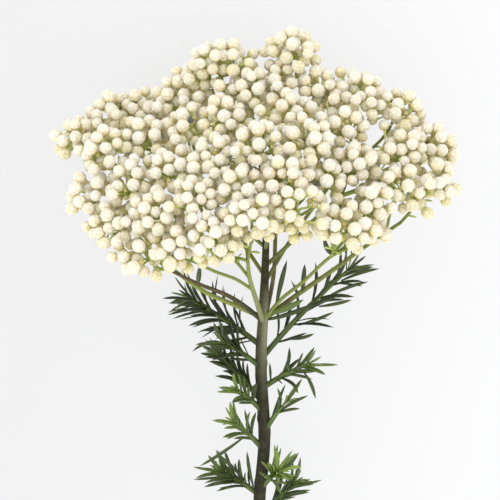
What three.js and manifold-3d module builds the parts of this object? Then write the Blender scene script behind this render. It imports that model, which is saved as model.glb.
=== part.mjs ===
// A cut stem of rice flower (Ozothamnus): a woody stem with needle-leaved side shoots and a domed
// head of cream buds, lying on a flat surface. It rests on its cut end and on the lowest buds.
//
// Everything grows in the stem's own frame, in millimetres: x across the head, y along the stem from
// the cut end to the head, z out of the head's front. The whole is then tipped by STEM_TILT to lie
// on z = 0, because the head is deep and holds the upper end of the stem off the surface.
import * as THREE from "three";
import { mergeVertices } from "three/addons/utils/BufferGeometryUtils.js";
import Module from "manifold-3d";

const wasm = await Module();
wasm.setup();

// Driving dimensions
const CROWN = 142; // from the cut end to the crown, where the branches of the head part
const STEM_TILT = THREE.MathUtils.degToRad(11.4);
const STEM_RADII = [2.2, 2.0, 1.9, 1.8, 1.75, 1.7, 1.45]; // from the cut end to the crown
const STEM_SIDES = 6;
const CUT_LENGTH = 2.8; // of the slanted cut, along the stem
const BUD_RADIUS = 1.5; // the smallest of the outer buds
const BUD_RADIUS_SPREAD = 0.45;
const SPRAY_RADIUS = 6.2; // from the middle of a spray to the middles of its outer buds
const SPRAY_REACH = 1.85; // radians from a spray's own direction to its outermost buds
const BUD_AREA = 11.2; // of the spray's round that each outer bud takes
const BUD_SCATTER = 1.6; // in and out of that round
const BUDS_KEPT = 298; // in the whole head, out of all its outer buds
const HUB_DEPTH = 0.35; // of the spray's radius, from its middle back to where its stalks part
const HUB_RADIUS = 1.1;
const ROOT_LENGTH = 1.3; // of the stub below the hub
const TWIG_RADIUS = 0.45;
const STALK_SHARES = [0.45, 0.8]; // of the bud's radius, as the most that each half of its stalk takes up
const SHOOT_RADII = [0.85, 0.8, 0.7, 0.45];
const LEAF_RADII = [0, 0.8, 0.85, 0]; // half its width, from its foot to its tip
const LEAF_FLATNESS = 0.8;
const GAP = 0.3; // between a spray or a shoot and what carries it
const GOLDEN_ANGLE = Math.PI * (3 - Math.sqrt(5));

const point = (x, y, z) => new THREE.Vector3(x, y, z);
const fromCrown = ([across, along, out]) => point(across, CROWN + along, out);
const FRONT = point(0, 0, 1);
const STEM_AXIS = point(0, 1, 0);
const UPWARDS = point(0, Math.sin(STEM_TILT), Math.cos(STEM_TILT)); // away from the table
const STEM_LIFT = STEM_RADII[0] * Math.cos(STEM_TILT); // of the stem's axis at its cut end
const CUT_END = point(2.15, -110.39, STEM_LIFT); // from the middle of the underside of the whole part's box
const height = (at) => at.dot(UPWARDS) + STEM_LIFT;

// The stem's slight zigzag from node to node: across, along from the cut end, out
const STEM_LINE = [
  point(0.5, 0, 0),
  point(-0.6, 26, 0.5),
  point(0.7, 52, -0.4),
  point(-0.7, 76, 0.4),
  point(0.8, 100, 0.3),
  point(-0.2, 124, 0),
  point(0.4, 142, 0),
];

// The branches of the head: the radii at both ends, and the line as across, along and out from the
// crown
const BRANCHES = [
  { radii: [1.15, 0.6], line: [[0.4, -3, 0], [0.8, 12, -1], [1, 25, -2], [0.4, 38, -4], [-1, 48, -5]] },
  { radii: [0.65, 0.45], line: [[1, -2, -1], [3.3, 10, -4.5], [4, 25, -8], [6, 38, -12], [8, 51, -15]] },
  { radii: [0.65, 0.45], line: [[0.9, 14, -2], [9.5, 22.5, -3], [13.8, 27, -4], [20.8, 34, -5], [25, 43, -7]] },
  { radii: [0.6, 0.45], line: [[0.4, -2, 0.5], [5.5, 6, 2.5], [11.6, 13.6, 6], [18.9, 25, 12.5], [26, 31, 17]] },
  { radii: [0.85, 0.5], line: [[0.6, -2, 0], [10, 6, 0], [20.5, 15.5, 2], [28, 23, 4], [38, 32, 6]] },
  { radii: [0.8, 0.45], line: [[0.4, -2.5, 0.5], [-4.9, 3.9, 3], [-10, 9.2, 6], [-17.8, 15, 10], [-25, 22.4, 16]] },
  { radii: [0.8, 0.45], line: [[0.2, -1.5, 0], [-7.4, 2.7, 0.5], [-17.4, 9.4, 3], [-28, 20, 5], [-38, 31, 4]] },
  { radii: [0.8, 0.5], line: [[0.2, -2, 1], [-1.6, 7.8, 7], [-3.5, 18.3, 13], [-4, 27, 19]] },
  { radii: [0.5, 0.42], line: [[-2.6, 13, 10], [-7.3, 17.5, 12], [-13, 21, 14], [-18, 26, 18]] },
  { radii: [0.6, 0.45], line: [[0.9, 19, -1.8], [1.5, 28, 3], [1.5, 38, 8]] },
  { radii: [0.6, 0.45], line: [[0.9, 20, -2], [-8, 28, -3], [-18, 37, -3.5], [-26, 42, -3]] },
  { radii: [0.6, 0.45], line: [[0.8, 11, -1.5], [-7, 20, -9], [-17, 31, -16], [-26, 40, -19]] },
  { radii: [0.6, 0.45], line: [[0.8, 9, -1.5], [8, 18, -10], [17, 29, -16], [25, 39, -18]] },
  { radii: [0.55, 0.45], line: [[0.9, 17, -2], [0, 28, -14], [0, 37, -23]] },
];

// The middle of each spray, as across, along and out from the crown
const SPRAYS = [
  [-12, 69, -17], [8, 71.5, -19], [-3, 63, -11], [16, 62, -13], [26, 61, -12], [37, 57, -11],
  [46, 48, -6], [-23, 57.5, -17], [-32, 53.5, -18], [-42, 52.5, -17], [-51, 48, -11], [7, 60, -3],
  [-10, 58, -3], [22, 56, -1], [37, 50, 1], [-20, 55, -4], [-31, 52, -4], [-42, 50, 0],
  [12, 57, 9], [0, 56, 10], [-12, 53, 10], [-24, 49, 9], [-35, 45, 9], [-46, 40, 7],
  [24, 50, 9], [46, 43, 6], [38, 44, 10], [6, 51, 20], [-6, 49, 21], [-17, 46, 21],
  [-28, 41, 20], [-39, 36, 16], [28, 43, 18], [9, 47, 26], [-3, 45.5, 28], [-13, 39, 29],
  [-23, 35, 26], [-31, 31, 24], [21, 40, 26], [28, 35, 12], [17, 49, 15], [5, 64, -14],
  [-34, 45, -29], [-20, 48, -34], [1, 51, -33], [21, 48, -34], [-14.5, 64.5, -20], [40, 42, -20],
];
const HEAD_FOCUS = fromCrown([0, -6, 0]); // the sprays point away from it, and a little upwards

// Where one sees right through the head, past its stalks: from behind it to before it, and half its
// width
const OPENINGS = [
  { far: [33, 38.6, -35], near: [28.7, 71.4, 35], radius: 2 },
  { far: [39.7, 11, -35], near: [34.5, 47.1, 35], radius: 2 },
  { far: [13.7, 15.9, -35], near: [11.6, 51.4, 35], radius: 1.9 },
  { far: [25.3, 20.9, -35], near: [21.9, 55.8, 35], radius: 1 },
];

// The leafy side shoots: how far below the crown each leaves the stem, where its tip is, how many
// leaves it has, how long they are, and how far they spread from it
const SHOOTS = [
  { below: 15, tip: [24, 9, -8], leaves: 13, leafLength: 13.5, spread: 1 },
  { below: 25, tip: [12.5, -13.5, 6], leaves: 8, leafLength: 9.5, spread: 0.9 },
  { below: 40, tip: [6, -28.5, 4], leaves: 3, leafLength: 12.5, spread: 0.5 },
  { below: 60, tip: [4.5, -51, 4], leaves: 12, leafLength: 10, spread: 1 },
  { below: 11, tip: [-20, 0, -8], leaves: 16, leafLength: 12.5, spread: 1 },
  { below: 18, tip: [-10, -9, 2], leaves: 6, leafLength: 12, spread: 0.7 },
  { below: 30, tip: [-11.5, -17, -4], leaves: 12, leafLength: 9.5, spread: 0.6 },
  { below: 33, tip: [-6.8, -23.5, 3.5], leaves: 7, leafLength: 8, spread: 0.85 },
  { below: 46, tip: [-7.5, -35, 3], leaves: 7, leafLength: 9, spread: 0.85 },
  { below: 62, tip: [-11, -54, 0], leaves: 10, leafLength: 11.5, spread: 0.9 },
  { below: 70, tip: [9, -60, -2], leaves: 8, leafLength: 11, spread: 0.8 },
];

// The single leaves on the crown and the branches: foot, bend and tip
const SINGLE_LEAVES = [
  [[1, -0.5, 0], [6.3, 2.6, 3.2], [11.7, 7.2, 5]],
  [[1, -2, 0.5], [7.4, -0.4, 1], [15.1, 4.8, 3]],
  [[11.3, 7.2, 0.3], [11.6, 12.4, 3.8], [11.8, 18.5, 5]],
  [[4, 3.7, 1.9], [5, 11.5, 4.2], [6.9, 19.3, 4]],
  [[19.6, 25.2, 12.8], [17.2, 28.5, 16.2], [16.5, 33.5, 18]],
  [[-17.8, 15, 10], [-17.5, 18.6, 14], [-17, 24, 16]],
  [[4, 24, -8], [8.5, 28.8, -9.5], [13, 31, -13]],
  [[-9, 22, -10.5], [-11, 24.2, -15], [-13, 24, -20]],
];

// The same stream of numbers from 0 to 1 on every run
function seeded(state) {
  return () => {
    state = (state + 0x6d2b79f5) | 0;
    let t = Math.imul(state ^ (state >>> 15), state | 1);
    t ^= t + Math.imul(t ^ (t >>> 7), t | 61);
    return ((t ^ (t >>> 14)) >>> 0) / 4294967296;
  };
}

// A closed solid from a geometry, with its shared vertices merged and its empty faces dropped
function solid(geometry) {
  geometry.deleteAttribute("normal");
  geometry.deleteAttribute("uv");
  const merged = mergeVertices(geometry);
  const corners = merged.index.array;
  const faces = [];
  for (let i = 0; i < corners.length; i += 3) {
    const [a, b, c] = corners.slice(i, i + 3);
    if (a !== b && b !== c && c !== a) {
      faces.push(a, b, c);
    }
  }
  const vertProperties = merged.attributes.position.array;
  return new wasm.Manifold(new wasm.Mesh({ numProp: 3, vertProperties, triVerts: new Uint32Array(faces) }));
}

// A limb along a line of points: a cylinder whose rings are moved onto the points, one radius each.
// Its depth is `flatness` of its width.
function limb(line, radii, sides, flatness = 1) {
  const last = line.length - 1;
  const geometry = new THREE.CylinderGeometry(1, 1, 1, sides, last);
  const position = geometry.attributes.position;
  const at = new THREE.Vector3();
  for (let i = 0; i < position.count; i++) {
    const ring = Math.round((position.getY(i) + 0.5) * last);
    const ahead = point(0, 0, 0).subVectors(line[Math.min(ring + 1, last)], line[Math.max(ring - 1, 0)]);
    const side = ahead.clone().cross(FRONT).normalize();
    const rise = side.clone().cross(ahead).normalize();
    at.copy(line[ring]).addScaledVector(side, radii[ring] * position.getX(i));
    at.addScaledVector(rise, radii[ring] * flatness * position.getZ(i));
    position.setXYZ(i, at.x, at.y, at.z);
  }
  return solid(geometry);
}

// Evenly tapering radii for a line of points
const tapered = ([first, last], line) =>
  line.map((_, i) => THREE.MathUtils.lerp(first, last, i / (line.length - 1)));

// What has grown so far, as straight stretches with a radius, so that nothing grows through it
const grown = [];

function occupy(owner, line, radii) {
  for (let i = 1; i < line.length; i++) {
    grown.push({ owner, stretch: new THREE.Line3(line[i - 1], line[i]), radius: Math.max(radii[i - 1], radii[i]) });
  }
}

function isFree(owner, line, radius) {
  const stretches = line.slice(1).map((end, i) => new THREE.Line3(line[i], end));
  return grown.every((other) => {
    const nearest = other.owner === owner ? Infinity : other.radius + radius;
    return nearest === Infinity || stretches.every((one) => one.distanceSqToLine3(other.stretch) > nearest ** 2);
  });
}

// A spray's frame: its middle, its own direction, two directions square to it, and its hub
function sprayFrame(middle) {
  const centre = fromCrown(middle);
  const ahead = centre.clone().sub(HEAD_FOCUS).normalize().addScaledVector(STEM_AXIS, 0.35).normalize();
  const across = ahead.clone().cross(point(0.31, 0.2, 0.93)).normalize();
  const over = ahead.clone().cross(across);
  const hub = centre.clone().addScaledVector(ahead, -HUB_DEPTH * SPRAY_RADIUS);
  const root = hub.clone().addScaledVector(ahead, -ROOT_LENGTH);
  return { centre, ahead, across, over, hub, root };
}

// The twig that carries a spray leaves the nearest branch at about 40 degrees, and bends round to
// meet the spray end to end
function twigLine({ root, ahead }) {
  const end = root.clone().addScaledVector(ahead, -GAP);
  let best = { cost: Infinity };
  for (const branch of BRANCHES) {
    const line = branch.line.map(fromCrown);
    for (let i = 1; i < line.length; i++) {
      const along = line[i].clone().sub(line[i - 1]).normalize();
      for (let step = i === 1 ? 5 : 1; step <= 5; step++) {
        const start = line[i - 1].clone().lerp(line[i], step / 5);
        const way = end.clone().sub(start);
        const cost = 1.3 * way.length() - way.dot(along);
        if (cost < best.cost) {
          best = { cost, start, reach: 0.35 * way.length() };
        }
      }
    }
  }
  const bend = new THREE.CubicBezierCurve3(
    best.start,
    best.start.clone().lerp(end, 0.35),
    end.clone().addScaledVector(ahead, -best.reach),
    end,
  );
  return bend.getPoints(2);
}

// All the outer buds that the sprays could hold: round each spray on a golden spiral, but none
// where another spray or a branch is
function growBuds(sprays) {
  const draw = seeded(7);
  const buds = [];
  sprays.forEach((spray, owner) => {
    const count = Math.floor((4 * Math.PI * SPRAY_RADIUS ** 2) / BUD_AREA);
    const turn = draw() * 2 * Math.PI;
    for (let i = 0; i < count; i++) {
      const polar = Math.acos(1 - (2 * (i + 0.5)) / count);
      const reach = SPRAY_RADIUS + BUD_SCATTER * (draw() - 0.5);
      const radius = BUD_RADIUS + BUD_RADIUS_SPREAD * draw() ** 0.6;
      const azimuth = turn + i * GOLDEN_ANGLE;
      const at = spray.centre.clone().addScaledVector(spray.ahead, reach * Math.cos(polar));
      at.addScaledVector(spray.across, reach * Math.sin(polar) * Math.cos(azimuth));
      at.addScaledVector(spray.over, reach * Math.sin(polar) * Math.sin(azimuth));
      const sunk = radius - height(at);
      at.addScaledVector(UPWARDS, Math.max(sunk, 0));
      const inside = sprays.some((other) => other !== spray && other.centre.distanceTo(at) < SPRAY_RADIUS - 0.8);
      const squeezed = buds.some((bud) => {
        const squeeze = bud.owner === owner ? 0.95 : 1;
        return bud.at.distanceTo(at) < squeeze * (bud.radius + radius);
      });
      if (polar <= SPRAY_REACH && !inside && !squeezed && isFree(owner, [at, at], radius + GAP)) {
        buds.push({ owner, at, radius, rests: sunk > 0 });
      }
    }
  });
  return buds;
}

// The buds that become solid: those that touch the surface, then one at a time for each spray, the
// one furthest from all that are kept
function chooseBuds(sprays, buds) {
  const kept = [];
  const stalkHalves = ({ owner, at, radius }) => {
    const { hub } = sprays[owner];
    const middle = hub.clone().lerp(at, 0.5);
    const halves = [[hub, middle], [middle, at]];
    return halves.map((line, i) => ({ line, radius: radius * STALK_SHARES[i] }));
  };
  const keep = (bud) => {
    kept.push(bud);
    occupy(bud.owner, [bud.at, bud.at], [bud.radius, bud.radius]);
    stalkHalves(bud).forEach(({ line, radius }) => occupy(bud.owner, line, [radius, radius]));
  };
  const fits = (bud) =>
    isFree(bud.owner, [bud.at, bud.at], bud.radius + 0.05) &&
    stalkHalves(bud).every(({ line, radius }) => isFree(bud.owner, line, radius + 0.05));
  buds.filter((bud) => bud.rests && fits(bud)).forEach(keep);
  const room = (bud) => Math.min(...kept.map((other) => other.at.distanceTo(bud.at)), 2 * SPRAY_RADIUS);
  for (let round = 1; kept.length < BUDS_KEPT; round++) {
    sprays.forEach((spray, owner) => {
      const open = buds.filter((bud) => bud.owner === owner && !kept.includes(bud) && fits(bud));
      const short = kept.filter((bud) => bud.owner === owner).length < round;
      if (short && open.length && kept.length < BUDS_KEPT) {
        keep(open.reduce((best, bud) => (room(bud) > room(best) ? bud : best)));
      }
    });
  }
  return kept;
}

// A bud on its stalk: a ball with the corner that faces the hub drawn out to it. One that rests is let
// down until its lowest corner touches the surface.
function stalkedBud({ at, radius, rests }, hub) {
  const ball = new THREE.IcosahedronGeometry(radius);
  const position = ball.attributes.position;
  const corner = new THREE.Vector3().fromBufferAttribute(position, 0);
  const stalk = hub.clone().sub(at);
  const turn = new THREE.Quaternion().setFromUnitVectors(corner.normalize(), stalk.clone().normalize());
  ball.applyQuaternion(turn);
  const drawn = new THREE.Vector3().fromBufferAttribute(position, 0);
  for (let i = 0; i < position.count; i++) {
    if (new THREE.Vector3().fromBufferAttribute(position, i).distanceTo(drawn) < 0.01) {
      position.setXYZ(i, stalk.x, stalk.y, stalk.z);
    }
  }
  ball.translate(at.x, at.y, at.z);
  if (rests) {
    const corners = Array.from(position.array.keys()).filter((i) => i % 3 === 0);
    const heights = corners.map((i) => height(new THREE.Vector3().fromArray(position.array, i)));
    const drop = UPWARDS.clone().multiplyScalar(-Math.min(...heights));
    ball.translate(drop.x, drop.y, drop.z);
  }
  return solid(ball);
}

function spraySolid({ hub, root }, buds) {
  const ball = solid(new THREE.OctahedronGeometry(HUB_RADIUS).translate(hub.x, hub.y, hub.z));
  const pieces = [ball, limb([root, hub], [TWIG_RADIUS, TWIG_RADIUS], 3)];
  for (const bud of buds) {
    pieces.push(stalkedBud(bud, hub));
  }
  return wasm.Manifold.union(pieces);
}

// A leaf springs from `foot` at an angle to `axis`, and bends outwards by `arch` at each third
function leafLine(foot, axis, outwards, angle, arch, length) {
  const line = [foot.clone()];
  for (let third = 0; third < 3; third++) {
    const lean = angle + arch * third;
    const next = line[third].clone().addScaledVector(axis, (Math.cos(lean) * length) / 3);
    line.push(next.addScaledVector(outwards, (Math.sin(lean) * length) / 3));
  }
  return line;
}

const leafSolid = (line) => limb(line, LEAF_RADII, 3, LEAF_FLATNESS);

// Where the stem's axis is at a distance from the cut end
function stemAt(along) {
  const i = STEM_LINE.findIndex((at) => at.y >= along);
  const from = STEM_LINE[i - 1];
  return from.clone().lerp(STEM_LINE[i], (along - from.y) / (STEM_LINE[i].y - from.y));
}

// A shoot's line leaves the stem's axis steeply, and bends a little outwards to its tip
function shootCurve({ below, tip }) {
  const start = stemAt(CROWN - below);
  const end = fromCrown(tip);
  const bend = point(0.6 * start.x + 0.4 * end.x, 0.5 * start.y + 0.5 * end.y, 0.6 * start.z + 0.4 * end.z);
  return new THREE.QuadraticBezierCurve3(start, bend, end);
}

function shootSolid(shoot, owner, draw) {
  const curve = shootCurve(shoot);
  const pieces = [limb(curve.getPoints(3), SHOOT_RADII, 3)];
  const offset = draw() * 2 * Math.PI;
  for (let i = 0; i < shoot.leaves; i++) {
    const along = 0.3 + 0.68 * (i / (shoot.leaves - 1)) ** 0.8;
    const place = curve.getPoint(along);
    const axis = curve.getTangent(along);
    const side = axis.clone().cross(FRONT).normalize();
    const rise = side.clone().cross(axis);
    const length = shoot.leafLength * (0.85 + 0.3 * draw()) * (1 - 0.25 * along ** 3);
    for (let turn = 0; turn < 8; turn++) {
      const azimuth = offset + i * GOLDEN_ANGLE + turn * 0.8;
      const outwards = side.clone().multiplyScalar(Math.cos(azimuth)).addScaledVector(rise, Math.sin(azimuth));
      const leaf = leafLine(place, axis, outwards, shoot.spread * (0.85 - 0.4 * along), 0.17, length);
      if (leaf.every((at) => height(at) > LEAF_RADII[1]) && isFree(owner, leaf, LEAF_RADII[1] + GAP)) {
        occupy(owner, leaf, LEAF_RADII);
        pieces.push(leafSolid(leaf));
        break;
      }
    }
  }
  const bore = limb(STEM_LINE, STEM_RADII.map((radius) => radius + GAP), STEM_SIDES);
  return wasm.Manifold.union(pieces).subtract(bore);
}

// The stem with its slanted cut, the branches of the head, the twigs and the single leaves, grown
// together as one solid
function stemSolid(twigs, singleLeaves) {
  const pieces = [limb(STEM_LINE, STEM_RADII, STEM_SIDES)];
  for (const branch of BRANCHES) {
    const line = branch.line.map(fromCrown);
    pieces.push(limb(line, tapered(branch.radii, line), 4));
  }
  for (const twig of twigs) {
    pieces.push(limb(twig, tapered([TWIG_RADIUS, TWIG_RADIUS], twig), 3));
  }
  pieces.push(...singleLeaves.map(leafSolid));
  const waste = new THREE.BoxGeometry(20, 20, 20).translate(0, -10, 0);
  waste.rotateX(Math.atan2(CUT_LENGTH, 2 * STEM_RADII[0])).translate(0, 0, -STEM_RADII[0]);
  return wasm.Manifold.union(pieces).subtract(solid(waste));
}

const bark = new THREE.MeshStandardMaterial({ color: "#5b5a3f", roughness: 0.85, metalness: 0 });
const buds = new THREE.MeshStandardMaterial({ color: "#ece3c8", roughness: 0.8, metalness: 0 });
const leaves = new THREE.MeshStandardMaterial({ color: "#4a6a37", roughness: 0.7, metalness: 0 });

function meshOf(name, manifold, material) {
  const { vertProperties, triVerts } = manifold.getMesh();
  const geometry = new THREE.BufferGeometry();
  geometry.setAttribute("position", new THREE.BufferAttribute(vertProperties, 3));
  geometry.setIndex(new THREE.BufferAttribute(triVerts, 1));
  geometry.computeVertexNormals();
  const mesh = new THREE.Mesh(geometry, material);
  mesh.name = name;
  return mesh;
}

const sprays = SPRAYS.map(sprayFrame);
const twigs = sprays.map(twigLine);
const singleLeaves = SINGLE_LEAVES.map((controls) =>
  new THREE.QuadraticBezierCurve3(...controls.map(fromCrown)).getPoints(3),
);
occupy("stem", STEM_LINE, STEM_RADII);
for (const branch of BRANCHES) {
  const line = branch.line.map(fromCrown);
  occupy("stem", line, tapered(branch.radii, line));
}
twigs.forEach((twig) => occupy("stem", twig, tapered([TWIG_RADIUS, TWIG_RADIUS], twig)));
sprays.forEach(({ root, hub }, owner) => occupy(owner, [root, hub], [TWIG_RADIUS, HUB_RADIUS]));
for (const { far, near, radius } of OPENINGS) {
  occupy("opening", [fromCrown(far), fromCrown(near)], [radius, radius]);
}

const grownStem = new THREE.Group();
grownStem.rotation.x = STEM_TILT;
grownStem.position.copy(CUT_END);
grownStem.add(meshOf("main_stem", stemSolid(twigs, singleLeaves), bark));

const numbered = (name, i) => `${name}_${String(i + 1).padStart(2, "0")}`;
const outerBuds = growBuds(sprays);
const keptBuds = chooseBuds(sprays, outerBuds);
outerBuds.forEach(({ owner, at, radius }) => occupy(owner, [at, at], [radius, radius]));
sprays.forEach((spray, owner) => {
  const own = keptBuds.filter((bud) => bud.owner === owner);
  grownStem.add(meshOf(numbered("spray", owner), spraySolid(spray, own), buds));
});

singleLeaves.forEach((leaf) => occupy("stem", leaf, LEAF_RADII));
const drawLeaf = seeded(3);
SHOOTS.forEach((shoot) => occupy(shoot.tip, shootCurve(shoot).getPoints(3), SHOOT_RADII));
SHOOTS.forEach((shoot, i) => {
  grownStem.add(meshOf(numbered("leafy_shoot", i), shootSolid(shoot, shoot.tip, drawLeaf), leaves));
});

const ozothamnusStem = new THREE.Group();
ozothamnusStem.add(grownStem);
export default ozothamnusStem;
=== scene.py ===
# A cut stem of rice flower (Ozothamnus), lying on a pale surface: a ridged woody stem, needle-leaved
# side shoots, and a domed head of small cream buds on thin green stalks.
#
# The plant grows in the stem's own frame, in millimetres: x across the head, y along the stem from its
# cut end to the head, z out of the head's front. GROWTH lays it on the surface, and turns it to metres.
import math

import bmesh
import bpy
import numpy as np
from mathutils import Matrix, Vector


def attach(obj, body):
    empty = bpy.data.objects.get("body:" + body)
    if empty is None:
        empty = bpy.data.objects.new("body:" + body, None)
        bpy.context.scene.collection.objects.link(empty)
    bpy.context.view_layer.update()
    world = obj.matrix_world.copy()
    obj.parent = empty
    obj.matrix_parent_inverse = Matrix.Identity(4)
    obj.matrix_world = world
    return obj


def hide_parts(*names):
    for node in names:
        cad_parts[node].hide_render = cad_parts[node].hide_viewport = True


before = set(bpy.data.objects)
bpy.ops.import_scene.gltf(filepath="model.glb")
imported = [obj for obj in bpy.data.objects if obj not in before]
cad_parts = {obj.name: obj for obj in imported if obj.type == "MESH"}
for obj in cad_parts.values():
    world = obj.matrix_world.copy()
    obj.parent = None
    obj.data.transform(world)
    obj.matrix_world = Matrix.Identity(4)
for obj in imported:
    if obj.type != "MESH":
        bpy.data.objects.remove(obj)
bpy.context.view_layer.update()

# How the stem lies
MM = 0.001
CROWN = 142.0  # from the cut end to the crown, where the branches of the head part
STEM_TILT = math.radians(11.4)
STEM_RADII = [2.2, 2.0, 1.9, 1.8, 1.75, 1.7, 1.45]  # from the cut end to the crown
STEM_LIFT = STEM_RADII[0] * math.cos(STEM_TILT)
CUT_END = Vector((2.15, -110.39, STEM_LIFT))
CUT_LENGTH = 2.8  # of the slanted cut, along the stem
GROWTH = Matrix.Scale(MM, 4) @ Matrix.Translation(CUT_END) @ Matrix.Rotation(STEM_TILT, 4, "X")
UPWARDS = np.array([0, math.sin(STEM_TILT), math.cos(STEM_TILT)])

# The sizes of what grows on it, in millimetres
BUD_SEED = 7
BUD_RADIUS = 1.5  # the smallest of the outer buds
BUD_RADIUS_SPREAD = 0.45
BUD_RADIUS_LEAN = 0.6  # below 1, so that large buds outnumber small ones
LOW_BUD_RADIUS = 1.6
INNER_BUD_RADII = (1.45, 0.35)  # the start and the span of a random range
UNRIPE_BUD_RADIUS = 0.55
SPRAY_RADIUS = 6.2  # from the middle of a spray to the middles of its outer buds
SPRAY_REACH = 1.85  # radians from a spray's own direction to its outermost buds
SPRAY_UPTURN = 0.35  # how much the stem's direction counts in a spray's own
BUD_AREA = 11.2  # of the spray's round, for each outer bud
BUD_SCATTER = 1.6  # in and out of that round
CROWDING = 0.95  # of both radii: how near two buds of a spray may be
OUTER_MARGIN = 0.8  # how far an outer bud may reach into another spray's round
LOW_CROWDING = 0.9
LOW_MARGIN = 1.2
HUB_DEPTH = 0.35  # of the spray's radius, from its middle back to where its stalks part
HUB_RADIUS = 1.1
ROOT_LENGTH = 1.3
TWIG_RADII = (0.45, 0.42)  # at its foot and at its end
TWIG_STARTS = 5  # places for a twig on each stretch of a branch, but just the last of its first one
TWIG_DETOUR = 1.3  # how much its length counts: 1 over the cosine of its angle to the branch
TWIG_BEND = 0.35  # of its length, before and after its bend
GAP = 0.3  # between pieces that don't grow together
SHOOT_RADII = [0.85, 0.8, 0.7, 0.45]
GOLDEN_ANGLE = math.pi * (3 - math.sqrt(5))

FRONT = np.array([0.0, 0.0, 1.0])
STEM_AXIS = np.array([0.0, 1.0, 0.0])
SPRAY_GUIDE = np.array([0.31, 0.2, 0.93])  # square to one side of each spray

# The stem's slight zigzag from node to node, as across, along from the cut end and out
STEM_LINE = [
    (0.5, 0, 0), (-0.6, 26, 0.5), (0.7, 52, -0.4), (-0.7, 76, 0.4), (0.8, 100, 0.3), (-0.2, 124, 0),
    (0.4, 142, 0),
]

# The branches of the head: the radii at both ends, how woody each is, how much grey bloom it starts
# with, and its line as across, along and out from the crown. The first is the stem's own leader.
BRANCHES = [
    ((1.15, 0.6), 0.95, 0,
     [(0.4, -3, 0), (0.8, 12, -1), (1, 25, -2), (0.4, 38, -4), (-1, 48, -5)]),
    ((0.65, 0.45), 0.6, 0.2,
     [(1, -2, -1), (3.3, 10, -4.5), (4, 25, -8), (6, 38, -12), (8, 51, -15)]),
    ((0.65, 0.45), 0.4, 0.2,
     [(0.9, 14, -2), (9.5, 22.5, -3), (13.8, 27, -4), (20.8, 34, -5), (25, 43, -7)]),
    ((0.6, 0.45), 0.3, 0.2,
     [(0.4, -2, 0.5), (5.5, 6, 2.5), (11.6, 13.6, 6), (18.9, 25, 12.5), (26, 31, 17)]),
    ((0.85, 0.5), 0.5, 0.2,
     [(0.6, -2, 0), (10, 6, 0), (20.5, 15.5, 2), (28, 23, 4), (38, 32, 6)]),
    ((0.8, 0.45), 0.9, 0.2,
     [(0.4, -2.5, 0.5), (-4.9, 3.9, 3), (-10, 9.2, 6), (-17.8, 15, 10), (-25, 22.4, 16)]),
    ((0.8, 0.45), 0.15, 0.2,
     [(0.2, -1.5, 0), (-7.4, 2.7, 0.5), (-17.4, 9.4, 3), (-28, 20, 5), (-38, 31, 4)]),
    ((0.8, 0.5), 0.25, 0.8,
     [(0.2, -2, 1), (-1.6, 7.8, 7), (-3.5, 18.3, 13), (-4, 27, 19)]),
    ((0.5, 0.42), 0.2, 0.3,
     [(-2.6, 13, 10), (-7.3, 17.5, 12), (-13, 21, 14), (-18, 26, 18)]),
    ((0.6, 0.45), 0.5, 0.2,
     [(0.9, 19, -1.8), (1.5, 28, 3), (1.5, 38, 8)]),
    ((0.6, 0.45), 0.3, 0.2,
     [(0.9, 20, -2), (-8, 28, -3), (-18, 37, -3.5), (-26, 42, -3)]),
    ((0.6, 0.45), 0.4, 0.2,
     [(0.8, 11, -1.5), (-7, 20, -9), (-17, 31, -16), (-26, 40, -19)]),
    ((0.6, 0.45), 0.4, 0.2,
     [(0.8, 9, -1.5), (8, 18, -10), (17, 29, -16), (25, 39, -18)]),
    ((0.55, 0.45), 0.4, 0.2,
     [(0.9, 17, -2), (0, 28, -14), (0, 37, -23)]),
]

# The middle of each spray, as across, along and out from the crown
SPRAYS = [
    (-12, 69, -17), (8, 71.5, -19), (-3, 63, -11), (16, 62, -13), (26, 61, -12), (37, 57, -11),
    (46, 48, -6), (-23, 57.5, -17), (-32, 53.5, -18), (-42, 52.5, -17), (-51, 48, -11), (7, 60, -3),
    (-10, 58, -3), (22, 56, -1), (37, 50, 1), (-20, 55, -4), (-31, 52, -4), (-42, 50, 0),
    (12, 57, 9), (0, 56, 10), (-12, 53, 10), (-24, 49, 9), (-35, 45, 9), (-46, 40, 7),
    (24, 50, 9), (46, 43, 6), (38, 44, 10), (6, 51, 20), (-6, 49, 21), (-17, 46, 21),
    (-28, 41, 20), (-39, 36, 16), (28, 43, 18), (9, 47, 26), (-3, 45.5, 28), (-13, 39, 29),
    (-23, 35, 26), (-31, 31, 24), (21, 40, 26), (28, 35, 12), (17, 49, 15), (5, 64, -14),
    (-34, 45, -29), (-20, 48, -34), (1, 51, -33), (21, 48, -34), (-14.5, 64.5, -20), (40, 42, -20),
]
HEAD_FOCUS = np.array([0, CROWN - 6, 0])  # the sprays point away from it, and a little upwards

# Buds that hang low at the front, before the branches: the spray's number, then its place
LOW_BUDS = [
    (34, (11.7, 38.4, 26)), (34, (7.4, 41.4, 28)), (34, (8.2, 37.9, 27)), (35, (4, 42.2, 29)),
    (35, (0.9, 42.1, 30)), (35, (1.6, 39.4, 28.5)), (34, (10.8, 42.3, 29)), (36, (-9, 34, 30)),
    (36, (-12.5, 32.5, 29.5)), (36, (-16, 31.2, 28)), (37, (-20, 28.5, 26)),
]

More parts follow.
